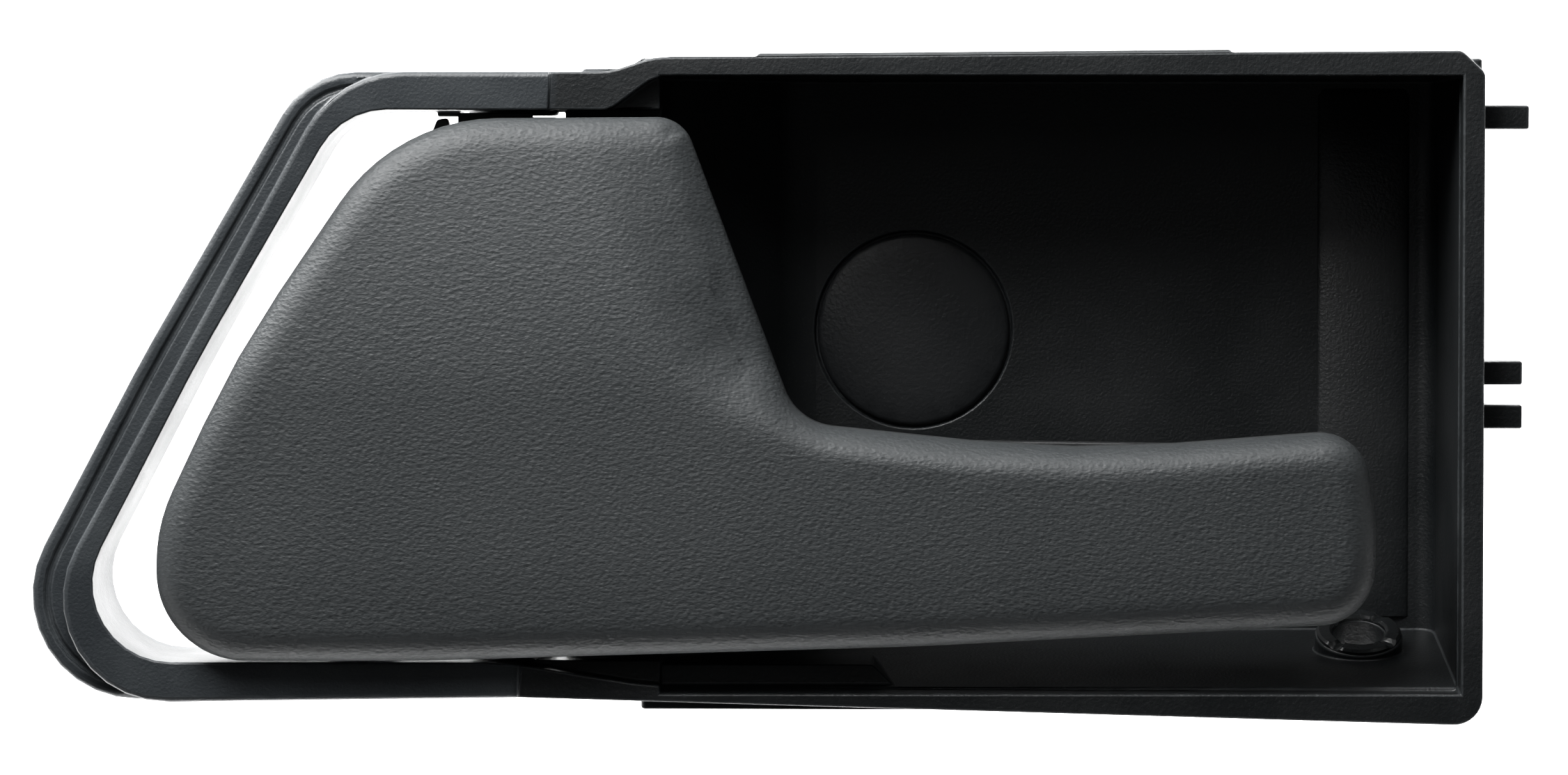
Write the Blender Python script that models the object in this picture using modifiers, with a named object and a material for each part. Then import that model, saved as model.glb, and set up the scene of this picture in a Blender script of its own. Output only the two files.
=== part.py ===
"""Interior car door handle: a sprung pull lever in a housing with an open ring and a finger bowl.

Frame: +X to the right and +Z up as the door trim is seen from the cabin, +Y into the door.
The origin is the middle of the trim cut-out, on the plane where the trim's inner face rests.
Lengths below are millimetres, and every mesh is built at MM scale.
"""

import math

import bmesh
import bpy
from mathutils import Matrix, Vector

MM = 0.001
ARC_STEP = math.radians(12)

# Depths along Y.
RING_FRONT = -3.0
BAND_FRONT = -2.5
RING_BACK = 14.0
BOWL_BACK = 26.0
WALL = 2.0
DRAFT = math.tan(math.radians(1))
FLOOR_RISE = 0.16
FRONT_CLEAR = -9.0

# Heights of the openings.
RING_TOP = 28.95
RING_BOTTOM = -28.8
BOWL_TOP = 32.5
BOWL_BOTTOM = -32.1

# Lever: depths, the rolled edge as (inset, depth), and the crease right of the palm pad.
GRIP_FRONT = -8.0
GRIP_SKIRT = 0.0
GRIP_WALL = 2.0
GRIP_CORE_STEP = 1.2
GRIP_EDGE = [(0.0, GRIP_SKIRT), (0.0, -4.4), (0.35, -5.8), (1.0, -6.9), (2.0, -7.6), (3.2, GRIP_FRONT)]
PART_GAP = 0.3
CARRIER_FLOOR = -3.2
CARRIER_BACK = 4.0
CREASE_X = -22.0
CREASE_Z = 25.7
CREASE_LOW = -4.1
CREASE_SLOPE = 0.35
CREASE_STEP = 2.5

# Screws (x, z) that hold the grip on the carrier.
GRIP_SCREWS = [(-41.5, 12.0), (-53.0, -19.0), (53.0, -15.0)]
SCREW_HOLE_R = 1.25
SCREW_WAY_R = 1.8
SCREW_HEAD_ROOM_R = 3.1
GRIP_BOSS_R = 2.6

# Hinge.
PIVOT_X = -28.65
PIVOT_Y = 8.0
PIN_R = 2.0
BORE_R = 2.08
BUSH_R = 3.0
KNUCKLE_R = 4.4
KNUCKLE_TOP = 27.3
KNUCKLE_LENGTH = 8.5
BUSH_FLANGE = 0.8
BOSS_TOP = 31.2
BOSS_BOTTOM = -31.2

# Crank arm and the eye that carries the rod clip.
ARM_BOTTOM = -14.5
ARM_TOP = -11.5
EYE_X = -40.5
EYE_Y = 20.0
EYE_R = 4.2
EYE_HOLE_R = 2.5

# Return spring, wound round the pin.
SPRING_LOW = 0.1
SPRING_START = math.radians(-20)
SPRING_SWEEP = math.radians(-5 * 360 - 70)
SPRING_PITCH = 1.35
SPRING_R = 3.1
SPRING_WIRE_R = 0.55
SPRING_FIXED_LEG = 5.2
SPRING_MOVING_LEG = 10.0

# Rubber stops.
BULKHEAD_FRONT = 7.0
BUFFER_X = -17.5
BUFFER_HEIGHTS = {"upper": 19.0, "lower": -19.0}
BUFFER_HEAD_R = 3.0
STEM_R = 1.4
STEM_ROOM = 0.3
TRAVEL_STOP = Vector((-45.2, 14.0, -25.2))
LUG_HALF = 3.6

# Fixing screw's pad in the bowl.
FIXING_TILT = math.radians(26)
FIXING_AXIS = Vector((0, -math.sin(FIXING_TILT), math.cos(FIXING_TILT)))
FIXING_SEAT = Vector((61.4, 16.0, -27.2))
FIXING_PAD_R = 4.7
FIXING_PAD_DEPTH = 6.5
FIXING_HOLE_R = 2.8

# Cap in the bowl's back wall.
CAP_CENTRE = Vector((13.75, BOWL_BACK, 5.1))
CAP_R = 10.4
CAP_RISE = 1.0
CAP_SPIGOT_R = 7.0

# Snap tabs on the right edge: foot height and reach of each, one height for all.
SNAP_TABS = [(26.9, 5.6), (0.1, 5.0), (-4.5, 5.0)]
SNAP_TAB_X = 72.4
SNAP_TAB_HEIGHT = 2.5

# Outlines as corners (x, z, corner radius), clockwise as seen from the cabin.
HOUSING_CORNERS = [
    (-46.6, 32.9, 11.7),
    (-18.2, 32.9, 6.0),
    (-13.6, 34.4, 6.0),
    (70.6, 35.1, 1.2),
    (73.0, 32.8, 1.2),
    (73.0, -35.4, 3.0),
    (-27.7, -32.5, 30.0),
    (-83.1, -33.2, 10.8),
]
OPENING_CORNERS = [
    (-46.0, 28.95, 8.0),
    (-18.4, 28.95, 4.0),
    (-13.6, 32.5, 4.0),
    (70.8, 32.5, 0.8),
    (70.8, -32.2, 0.8),
    (12.0, -32.0, 40.0),
    (-14.0, -31.4, 30.0),
    (-30.0, -28.8, 30.0),
    (-77.6, -28.8, 8.2),
    (-61.0, 3.1, 120.0),
]
HOOK_CORNERS = [
    (-50.0, 32.9, 9.0),
    (-30.0, 32.9, 3.0),
    (-30.0, -32.8, 3.0),
    (-86.3, -33.0, 11.0),
    (-67.3, 3.0, 100.0),
]
RING_CORNERS = [
    (-46.0, 28.95, 8.0),
    (-12.0, 28.95, 0.5),
    (-12.0, -28.8, 0.5),
    (-77.6, -28.8, 8.2),
    (-61.0, 3.1, 120.0),
]
LEVER_CORNERS = [
    (-40.4, 28.0, 20.0),
    (-10.6, 28.2, 4.0),
    (1.4, -3.7, 6.0),
    (30.2, -6.7, 120.0),
    (60.2, -4.4, 5.0),
    (62.0, -16.0, 20.0),
    (60.8, -24.5, 6.0),
    (14.0, -27.1, 200.0),
    (-65.5, -28.45, 9.3),
    (-65.5, -14.4, 18.0),
    (-57.1, 3.3, 105.0),
]


# ---------------------------------------------------------------- outlines

def rounded(corners, arc_step=ARC_STEP):
    """Outline through the corners, each rounded to its radius with an arc."""
    points = []
    count = len(corners)
    for index, (x, z, radius) in enumerate(corners):
        corner = Vector((x, z))
        before = (Vector(corners[index - 1][:2]) - corner).normalized()
        after = (Vector(corners[(index + 1) % count][:2]) - corner).normalized()
        opening = before.angle(after)
        tangent = radius / math.tan(opening / 2)
        centre = corner + (before + after).normalized() * radius / math.sin(opening / 2)
        start = corner + before * tangent - centre
        turn = start.angle_signed(corner + after * tangent - centre)
        steps = max(1, math.ceil(abs(turn) / arc_step))
        for step in range(steps + 1):
            spin = Matrix.Rotation(-turn * step / steps, 2)
            points.append(centre + spin @ start)
    return points


def inset(outline, distance):
    """The clockwise outline moved inwards, or outwards for a negative distance."""
    moved = []
    count = len(outline)
    for index, point in enumerate(outline):
        before = (point - outline[index - 1]).normalized()
        after = (outline[(index + 1) % count] - point).normalized()
        inward_before = Vector((before.y, -before.x))
        inward_after = Vector((after.y, -after.x))
        middle = (inward_before + inward_after).normalized()
        moved.append(point + middle * distance / middle.dot(inward_before))
    return moved


def at_depth(outline, y):
    """A flat outline in X and Z, placed at one depth."""
    return [Vector((point.x, y, point.y)) for point in outline]


# ---------------------------------------------------------------- mesh helpers

def link(obj, collection):
    collection.objects.link(obj)
    return obj


def mesh_object(name, bm, collection):
    bmesh.ops.recalc_face_normals(bm, faces=bm.faces)
    mesh = bpy.data.meshes.new(name)
    bm.to_mesh(mesh)
    bm.free()
    return link(bpy.data.objects.new(name, mesh), collection)


def loft(name, sections, collection, shape=None):
    """A closed solid through sections with equal numbers of points, then given to shape."""
    bm = bmesh.new()
    rings = [[bm.verts.new(point) for point in section] for section in sections]
    count = len(rings[0])
    for near, far in zip(rings, rings[1:]):
        for index in range(count):
            following = (index + 1) % count
            bm.faces.new((near[index], near[following], far[following], far[index]))
    bm.faces.new(rings[0])
    bm.faces.new(reversed(rings[-1]))
    bm.normal_update()
    bmesh.ops.triangulate(bm, faces=bm.faces, ngon_method="EAR_CLIP")
    if shape:
        shape(bm)
    bmesh.ops.scale(bm, vec=(MM, MM, MM), verts=bm.verts)
    return mesh_object(name, bm, collection)


def plate(name, outline, y_front, y_back, collection, front_bevel=0.0):
    """An outline given thickness along Y, with its front edge eased by front_bevel."""
    sections = [at_depth(outline, y_front + front_bevel), at_depth(outline, y_back)]
    if front_bevel:
        sections.insert(0, at_depth(inset(outline, front_bevel), y_front))
    return loft(name, sections, collection)


def upright(name, plan, top_of, bottom_of, collection):
    """A plan outline in X and Y raised between two heights that may vary with depth."""
    tops = [Vector((x, y, top_of(y))) for x, y in plan]
    bottoms = [Vector((x, y, bottom_of(y))) for x, y in plan]
    return loft(name, [tops, bottoms], collection)


def box(name, low, high, collection):
    bm = bmesh.new()
    size = Vector(high) - Vector(low)
    middle = (Vector(high) + Vector(low)) / 2
    bmesh.ops.create_cube(bm, size=1)
    bmesh.ops.scale(bm, vec=size * MM, verts=bm.verts)
    bmesh.ops.translate(bm, vec=middle * MM, verts=bm.verts)
    return mesh_object(name, bm, collection)


def rod(name, start, end, radius, collection, segments=24):
    """A cylinder between two points."""
    start, end = Vector(start), Vector(end)
    bm = bmesh.new()
    bmesh.ops.create_cone(
        bm,
        cap_ends=True,
        segments=segments,
        radius1=radius * MM,
        radius2=radius * MM,
        depth=(end - start).length * MM,
    )
    turn = (end - start).to_track_quat("Z", "Y").to_matrix().to_4x4()
    bmesh.ops.transform(bm, matrix=Matrix.Translation((start + end) / 2 * MM) @ turn, verts=bm.verts)
    return mesh_object(name, bm, collection)


def turned(name, profile, place, collection, segments=24):
    """A profile of (radius, height) points, from the outer side's top down, turned round Z."""
    bm = bmesh.new()
    closed = profile[0] == profile[-1]
    verts = [bm.verts.new((radius * MM, 0, height * MM)) for radius, height in profile[closed:]]
    for first, second in zip(verts, verts[1:] + verts[:1] * closed):
        bm.edges.new((first, second))
    mesh = bpy.data.meshes.new(name)
    bm.to_mesh(mesh)
    bm.free()
    obj = link(bpy.data.objects.new(name, mesh), collection)
    screw = obj.modifiers.new("turn", "SCREW")
    screw.steps = segments
    screw.render_steps = segments
    screw.use_merge_vertices = True
    screw.merge_threshold = 0.00001
    screw.use_smooth_shade = True
    obj.matrix_world = place
    return obj


def ring_profile(inner, outer, bottom, top):
    """Closed profile of a plain ring, with its outer side running down."""
    return [(outer, top), (outer, bottom), (inner, bottom), (inner, top), (outer, top)]


def join(target, others):
    """Boolean unions with bodies that overlap the target."""
    combine(target, others, "UNION")


def cut(target, cutters):
    combine(target, cutters, "DIFFERENCE")


def combine(target, others, operation):
    for other in others:
        other.hide_render = True
        other.display_type = "WIRE"
        modifier = target.modifiers.new(f"{operation.lower()} {other.name}", "BOOLEAN")
        modifier.operation = operation
        modifier.object = other
        modifier.solver = "EXACT"


def material(name, colour, roughness, metallic=0.0):
    made = bpy.data.materials.new(name)
    made.use_nodes = True
    shader = made.node_tree.nodes["Principled BSDF"]
    shader.inputs["Base Color"].default_value = (*colour, 1)
    shader.inputs["Roughness"].default_value = roughness
    shader.inputs["Metallic"].default_value = metallic
    return made


def finish(obj, surface, sharp_angle=math.radians(35)):
    obj.data.materials.append(surface)
    obj.data.shade_smooth()
    obj.data.set_sharp_from_angle(angle=sharp_angle)


# ---------------------------------------------------------------- housing

def fillet_plan(points):
    """A plan outline of (x, y, radius) corners as (x, y) pairs."""
    return [(point.x, point.y) for point in rounded(points)]


def bowl_floor(y):
    return BOWL_BOTTOM + FLOOR_RISE * (y - BAND_FRONT)


def bowl_ceiling(y):
    return BOWL_TOP - DRAFT * (y - BAND_FRONT)


def bowl_body(helpers):
    plan = fillet_plan([
        (-15.0, -1.0, 0.5),
        (-15.0, 10.4, 5.0),
        (0.0, 28.0, 6.0),
        (72.8, 28.0, 3.0),
        (72.8, -1.0, 0.5),
    ])
    return upright(
        "bowl_body",
        plan,
        lambda y: bowl_ceiling(y) + 1.8,
        lambda y: bowl_floor(y) - WALL,
        helpers,
    )


def bowl_cavity(helpers):
    plan = fillet_plan([
        (-13.0, FRONT_CLEAR, 0.5),
        (-13.0, 9.6, 5.0),
        (1.4, BOWL_BACK, 7.0),
        (70.3, BOWL_BACK, 2.0),
        (70.8, FRONT_CLEAR, 0.5),
    ])
    return upright("bowl_cavity", plan, bowl_ceiling, bowl_floor, helpers)


def sill(helpers):
    """Raised floor beside the hinge, with a slanted end towards the bowl."""
    outline = rounded([
        (-14.5, -29.3, 0.3),
        (9.3, -29.3, 1.0),
        (13.0, -33.0, 0.3),
        (-14.5, -33.0, 0.3),
    ])
    return plate("sill", outline, 1.5, 27.0, helpers)


def hook_flange(helpers):
    """Flange that slips behind the trim at the left, with a groove along its front face."""
    outline = rounded(HOOK_CORNERS)
    flange = plate("hook_flange", outline, 0.0, 2.2, helpers, front_bevel=0.4)
    groove_inner = plate("groove_inner", inset(outline, 1.9), -0.5, 0.5, helpers)
    groove = plate("groove", inset(outline, 1.3), -0.6, 0.4, helpers)
    cut(groove, [groove_inner])
    cut(flange, [groove])
    return flange


def ring_tube(helpers):
    outline = inset(rounded(RING_CORNERS), -1.8)
    return plate("ring_tube", outline, -0.9, RING_BACK, helpers)


def ring_opening(helpers):
    """The way through the ring, narrowing to the back by the draft."""
    corners = [(min(x, -23.0), z, radius) for x, z, radius in RING_CORNERS]
    front = rounded(corners)
    back_y = RING_BACK + 3.0
    narrowing = DRAFT * (back_y - RING_FRONT)
    sections = [
        at_depth(inset(front, -DRAFT * (RING_FRONT - FRONT_CLEAR)), FRONT_CLEAR),
        at_depth(inset(front, narrowing), back_y),
    ]
    return loft("ring_opening", sections, helpers)


def top_land(helpers):
    """Long shallow land along the top edge, where the cut-out's edge seats."""
    outline = [Vector(corner) for corner in ((-3.0, 33.6), (-2.7, 34.8), (46.5, 35.2), (46.8, 34.0))]
    return plate("top_land", outline, -2.2, -0.3, helpers)


def snap_tab(name, z_low, reach, helpers):
    """A hook on the right edge, ramped at the back so that it snaps behind the trim."""
    plan = [
        (SNAP_TAB_X - 1.0, 2.0),
        (SNAP_TAB_X - 1.0, 8.0),
        (SNAP_TAB_X + 1.5, 8.0),
        (SNAP_TAB_X + reach, 4.2),
        (SNAP_TAB_X + reach, 2.0),
    ]
    return upright(name, plan, lambda y: z_low + SNAP_TAB_HEIGHT, lambda y: z_low, helpers)


def fixing_boss(helpers):
    """Tilted pad for the fixing screw, in the bowl's lower right corner."""
    foot = FIXING_SEAT - FIXING_AXIS * FIXING_PAD_DEPTH
    return rod("fixing_boss", foot, FIXING_SEAT, FIXING_PAD_R, helpers, 32)


def stiffeners(helpers):
    """Ribs behind the ring and beside the bowl."""
    ribs = []
    for index, z in enumerate((-20.0, 0.0, 20.0)):
        rib = [(-15.5, 9.0), (-2.0, 27.5), (-7.5, 27.5), (-15.5, 19.0)]
        tops, bottoms = (lambda y, z=z: z + 0.8), (lambda y, z=z: z - 0.8)
        ribs.append(upright(f"side_rib_{index}", rib, tops, bottoms, helpers))
    for index, x in enumerate((8.0, 28.0, 48.0, 66.0)):
        ribs.append(box(f"top_rib_{index}", (x, -1.0, 33.0), (x + 1.6, 9.0, 34.6), helpers))
    return ribs


def bulkhead_pocket(helpers):
    return box("bulkhead_pocket", (-21.0, 9.4, -27.0), (-14.9, RING_BACK + 2, 27.0), helpers)


def hinge_boss(name, z_low, z_high, helpers):
    return rod(name, (PIVOT_X, PIVOT_Y, z_low), (PIVOT_X, PIVOT_Y, z_high), KNUCKLE_R + 0.3, helpers)


def travel_lug(helpers):
    """Lug behind the ring's lower edge that carries the travel stop, and its root in the ring."""
    plate_low = (TRAVEL_STOP.x - LUG_HALF, TRAVEL_STOP.y, RING_BOTTOM - 1.0)
    plate_high = (TRAVEL_STOP.x + LUG_HALF, TRAVEL_STOP.y + 2.0, TRAVEL_STOP.z + 3.2)
    root_low = (TRAVEL_STOP.x - LUG_HALF + 0.5, RING_BACK - 4.0, RING_BOTTOM - 1.6)
    root_high = (TRAVEL_STOP.x + LUG_HALF - 0.5, TRAVEL_STOP.y + 1.6, RING_BOTTOM + 0.2)
    return [
        box("travel_lug", plate_low, plate_high, helpers),
        box("travel_lug_root", root_low, root_high, helpers),
    ]


def ring_to_bowl(helpers):
    """Webs that close the ring to the bowl above and below the hinge."""
    return [
        box("upper_bridge", (-21.0, -0.5, 29.3), (-12.8, 10.0, 33.2), helpers),
        box("lower_bridge", (-31.5, -0.5, -31.9), (-12.8, 3.2, -29.2), helpers),
    ]


def band_step(helpers):
    """Cutter that leaves the bowl's rim lower than the ring's, right of a slanted seam."""
    seam = [Vector((-24.0, 40.0)), Vector((90.0, 40.0)), Vector((90.0, -40.0)), Vector((-28.2, -40.0))]
    return plate("band_step", seam, FRONT_CLEAR, BAND_FRONT, helpers)


def lever_way(helpers):
    """Room for the lever between the ring and the bowl."""
    return box("lever_way", (-26.0, FRONT_CLEAR, RING_BOTTOM), (-11.0, BULKHEAD_FRONT, RING_TOP), helpers)


def housing(parts, helpers, surface):
    body = plate("housing", rounded(HOUSING_CORNERS), RING_FRONT, 0.0, parts, front_bevel=0.35)
    join(body, [bowl_body(helpers), ring_tube(helpers), hook_flange(helpers)] + ring_to_bowl(helpers))
    front = plate("front_opening", inset(rounded(OPENING_CORNERS), 0.12), FRONT_CLEAR, 0.6, helpers)
    cut(body, [ring_opening(helpers), bowl_cavity(helpers), lever_way(helpers), front])
    cut(body, [band_step(helpers), bulkhead_pocket(helpers)])
    additions = [sill(helpers), fixing_boss(helpers), top_land(helpers)]
    additions += travel_lug(helpers) + stiffeners(helpers)
    additions.append(hinge_boss("upper_hinge_boss", KNUCKLE_TOP + BUSH_FLANGE + 0.2, BOSS_TOP, helpers))
    additions.append(hinge_boss("lower_hinge_boss", BOSS_BOTTOM, -KNUCKLE_TOP - BUSH_FLANGE - 0.6, helpers))
    additions.append(box("hinge_guard", (-36.6, 5.0, 28.2), (-34.2, 11.0, 29.6), helpers))
    for index, (z_low, reach) in enumerate(SNAP_TABS):
        additions.append(snap_tab(f"snap_tab_{index}", z_low, reach, helpers))
    join(body, additions)
    cut(body, housing_holes(helpers))
    finish(body, surface)
    return body


def housing_holes(helpers):
    """Bores and notches cut after every body is joined."""
    pin_bore = rod("pin_bore", (PIVOT_X, PIVOT_Y, -36.0), (PIVOT_X, PIVOT_Y, 36.0), BORE_R, helpers)
    below = FIXING_SEAT - FIXING_AXIS * 14.0
    above = FIXING_SEAT + FIXING_AXIS * 4.0
    fixing_hole = rod("fixing_hole", below, above, FIXING_HOLE_R, helpers)
    cap_front = CAP_CENTRE + Vector((0, -2, 0))
    cap_hole = rod("cap_hole", cap_front, CAP_CENTRE + Vector((0, 6, 0)), CAP_SPIGOT_R + 0.3, helpers, 32)
    cap_seat = rod("cap_seat", cap_front, CAP_CENTRE + Vector((0, 0.6, 0)), CAP_R + 0.3, helpers, 48)
    holes = [pin_bore, fixing_hole, cap_hole, cap_seat]
    stem_hole_r = STEM_R + STEM_ROOM
    for name, z in BUFFER_HEIGHTS.items():
        holes.append(rod(f"{name}_buffer_hole", (BUFFER_X, 6.0, z), (BUFFER_X, 10.5, z), stem_hole_r, helpers))
    lug_front = TRAVEL_STOP - Vector((0, 2, 0))
    lug_back = TRAVEL_STOP + Vector((0, 4, 0))
    holes.append(rod("travel_buffer_hole", lug_front, lug_back, stem_hole_r, helpers))
    return holes


# ---------------------------------------------------------------- lever

def crease_x(z):
    """Where the palm pad starts to fall away towards the bowl, at each height."""
    return CREASE_X + CREASE_SLOPE * (CREASE_Z - z) + 11.0 * math.exp(-(z - CREASE_LOW) / 3.0)


def fall_away(x, z):
    """How much deeper the lever's front lies to the right of the crease."""
    if z < CREASE_LOW:
        return 0.0
    past = max(0.0, x - crease_x(z))
    return min(3.0, 0.025 * past * past)


def drape(bm):
    """Splits a flat-fronted lever mesh along the crease and lets it fall away beyond."""
    across = Vector((1.0, 0.0, CREASE_SLOPE))
    planes = [(Vector((CREASE_X + step * CREASE_STEP, 0.0, CREASE_Z)), across) for step in range(7)]
    up = Vector((0.0, 0.0, 1.0))
    planes += [(Vector((0.0, 0.0, CREASE_LOW + step)), up) for step in (0.0, 1.5, 3.5, 7.0)]
    for point, normal in planes:
        front = [face for face in bm.faces if face.calc_center_median().y < -5.0]
        edges = {edge for face in front for edge in face.edges}
        verts = {vert for face in front for vert in face.verts}
        geometry = front + list(edges) + list(verts)
        bmesh.ops.bisect_plane(bm, geom=geometry, dist=0.02, plane_co=point, plane_no=normal)
    bmesh.ops.remove_doubles(bm, verts=bm.verts, dist=0.05)
    bm.normal_update()
    bmesh.ops.triangulate(bm, faces=bm.faces, ngon_method="EAR_CLIP")
    for vert in bm.verts:
        share = min(1.0, max(0.0, -vert.co.y / 4.0))
        vert.co.y += share * fall_away(vert.co.x, vert.co.z)


def flat_section(outline, distance, y):
    return at_depth(inset(outline, distance), y)


def lever_grip(parts, helpers, surface):
    """Grained outer shell: its rolled edge, its hollow back and the screw bosses inside."""
    outline = rounded(LEVER_CORNERS)
    sections = [flat_section(outline, distance, y) for distance, y in GRIP_EDGE]
    grip = loft("lever_grip", sections, parts, drape)
    hollow = [
        flat_section(outline, GRIP_WALL, GRIP_SKIRT + 0.5),
        flat_section(outline, GRIP_WALL, -4.6),
        flat_section(outline, GRIP_WALL + GRIP_CORE_STEP, GRIP_FRONT + GRIP_WALL),
    ]
    cut(grip, [loft("grip_hollow", hollow, helpers, drape)])
    bosses = []
    bores = []
    for index, (x, z) in enumerate(GRIP_SCREWS):
        bosses.append(rod(f"grip_boss_{index}", (x, GRIP_FRONT + 1.5, z), (x, -3.6, z), GRIP_BOSS_R, helpers))
        bores.append(rod(f"grip_bore_{index}", (x, -6.4, z), (x, -2.0, z), SCREW_HOLE_R, helpers, 16))
    join(grip, bosses)
    cut(grip, bores)
    finish(grip, surface)
    return grip


def palm_cells(helpers):
    """Open cells in the carrier's back, with ribs left between them."""
    cells = [
        [(-41.0, 22.0, 2.0), (-35.0, 24.0, 1.0), (-35.0, 8.0, 0.5), (-50.5, 8.0, 1.0)],
        [(-51.0, 6.2, 1.0), (-35.0, 6.2, 0.5), (-35.0, -8.0, 0.5), (-58.5, -8.0, 1.0)],
        [(-59.5, -9.8, 1.0), (-35.0, -9.8, 0.5), (-35.0, -17.0, 0.5), (-61.8, -17.0, 1.0)],
    ]
    return [
        plate(f"palm_cell_{index}", rounded(corners), CARRIER_FLOOR + 2.2, CARRIER_BACK + 1.0, helpers)
        for index, corners in enumerate(cells)
    ]


def bar_cells(helpers):
    """Cells in the bar's front side, which the grip covers."""
    cells = []
    start, width, rib = 6.0, 9.0, 1.6
    for index in range(4):
        x = start + index * (width + rib)
        cells.append(box(f"bar_cell_{index}", (x, -7.0, -22.0), (x + width, 1.5, -9.5), helpers))
    return cells


def crank_arm(helpers):
    """Flat arm behind the carrier that ends in the eye for the rod clip."""
    plan = [(-36.0, 1.5), (EYE_X - 4.0, EYE_Y), (EYE_X + 4.0, EYE_Y), (-26.5, 5.5), (-26.5, 1.5)]
    arm = upright("crank_arm", plan, lambda y: ARM_TOP, lambda y: ARM_BOTTOM, helpers)
    foot = (EYE_X, EYE_Y, ARM_BOTTOM + 0.01)
    eye = rod("crank_eye", foot, (EYE_X, EYE_Y, ARM_TOP - 0.01), EYE_R, helpers, 32)
    return [arm, eye]


def lever_carrier(parts, helpers, surface):
    """Black inner lever: plug inside the grip, back flange, knuckles and crank arm."""
    outline = rounded(LEVER_CORNERS)
    plug_inset = GRIP_WALL + PART_GAP
    plug = [
        flat_section(outline, plug_inset, 1.0),
        flat_section(outline, plug_inset, -3.9),
        flat_section(outline, plug_inset + GRIP_CORE_STEP, GRIP_FRONT + GRIP_WALL + 2 * PART_GAP),
    ]
    carrier = loft("lever_carrier", plug, parts, drape)
    flange = [
        flat_section(outline, 0.15, GRIP_SKIRT + PART_GAP),
        flat_section(outline, 0.15, CARRIER_BACK - 1.2),
        flat_section(outline, 0.8, CARRIER_BACK - 0.3),
        flat_section(outline, 1.6, CARRIER_BACK),
    ]
    joined = [loft("carrier_flange", flange, helpers)]
    for name, low in (("upper", KNUCKLE_TOP - KNUCKLE_LENGTH), ("lower", -KNUCKLE_TOP)):
        high = low + KNUCKLE_LENGTH
        web_low = (PIVOT_X - KNUCKLE_R, 2.0, low)
        web_high = (PIVOT_X + KNUCKLE_R, PIVOT_Y, high)
        joined.append(rod(f"{name}_knuckle", (PIVOT_X, PIVOT_Y, low), (PIVOT_X, PIVOT_Y, high), KNUCKLE_R, helpers))
        joined.append(box(f"{name}_knuckle_web", web_low, web_high, helpers))
    join(carrier, joined + crank_arm(helpers))
    cut(carrier, palm_cells(helpers) + bar_cells(helpers) + carrier_holes(helpers))
    finish(carrier, surface)
    return carrier


def carrier_holes(helpers):
    holes = [
        rod("knuckle_bore", (PIVOT_X, PIVOT_Y, -30.0), (PIVOT_X, PIVOT_Y, 30.0), BUSH_R + 0.1, helpers),
        rod("crank_eye_hole", (EYE_X, EYE_Y, ARM_BOTTOM - 1), (EYE_X, EYE_Y, ARM_TOP + 1), EYE_HOLE_R, helpers),
    ]
    for index, (x, z) in enumerate(GRIP_SCREWS):
        holes.append(rod(f"boss_room_{index}", (x, -8.0, z), (x, CARRIER_FLOOR, z), GRIP_BOSS_R + 0.3, helpers))
        holes.append(rod(f"screw_way_{index}", (x, -8.0, z), (x, 6.0, z), SCREW_WAY_R, helpers, 16))
        holes.append(rod(f"screw_head_room_{index}", (x, -0.9, z), (x, 6.0, z), SCREW_HEAD_ROOM_R, helpers))
    return holes


def grip_screw(name, x, z, parts, helpers, surface):
    """Pan-head screw driven from the back, with a cross recess."""
    profile = [(0.0, 1.7), (1.5, 1.6), (2.3, 1.1), (2.6, 0.4), (2.6, 0.0), (1.1, 0.0), (1.1, -4.6), (0.0, -5.2)]
    place = Matrix.Translation(Vector((x, -0.55, z)) * MM) @ Matrix.Rotation(-math.pi / 2, 4, "X")
    screw = turned(name, profile, place, parts)
    for index, (wide, deep) in enumerate(((1.5, 0.35), (0.35, 1.5))):
        arm = box(f"{name}_recess_{index}", (x - wide, 0.3, z - deep), (x + wide, 2.0, z + deep), helpers)
        cut(screw, [arm])
    finish(screw, surface)
    return screw


# ---------------------------------------------------------------- hinge and small pieces

def pivot_pin(parts, surface):
    """Steel pin with a domed head above the upper boss."""
    top = BOSS_TOP + 0.15
    profile = [
        (0.0, top + 0.9),
        (1.8, top + 0.8),
        (2.9, top + 0.3),
        (2.9, top),
        (PIN_R, top),
        (PIN_R, BOSS_BOTTOM - 0.8),
        (PIN_R - 0.3, BOSS_BOTTOM - 1.2),
        (0.0, BOSS_BOTTOM - 1.2),
    ]
    place = Matrix.Translation(Vector((PIVOT_X, PIVOT_Y, 0)) * MM)
    pin = turned("pivot_pin", profile, place, parts)
    finish(pin, surface)
    return pin


def flanged_bush(name, end, parts, surface):
    """Plain bush in a knuckle, its flange on the outer end (end is +1 above, -1 below)."""
    flange_low = KNUCKLE_TOP + 0.05
    flange_high = flange_low + BUSH_FLANGE
    sleeve_end = KNUCKLE_TOP - KNUCKLE_LENGTH + 0.5
    profile = [
        (KNUCKLE_R, flange_high),
        (KNUCKLE_R, flange_low),
        (BUSH_R, flange_low),
        (BUSH_R, sleeve_end),
        (BORE_R, sleeve_end),
        (BORE_R, flange_high),
        (KNUCKLE_R, flange_high),
    ]
    place = Matrix.Translation(Vector((PIVOT_X, PIVOT_Y, 0)) * MM)
    if end < 0:
        place = place @ Matrix.Rotation(math.pi, 4, "X")
    bush = turned(name, profile, place, parts)
    finish(bush, surface)
    return bush


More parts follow.
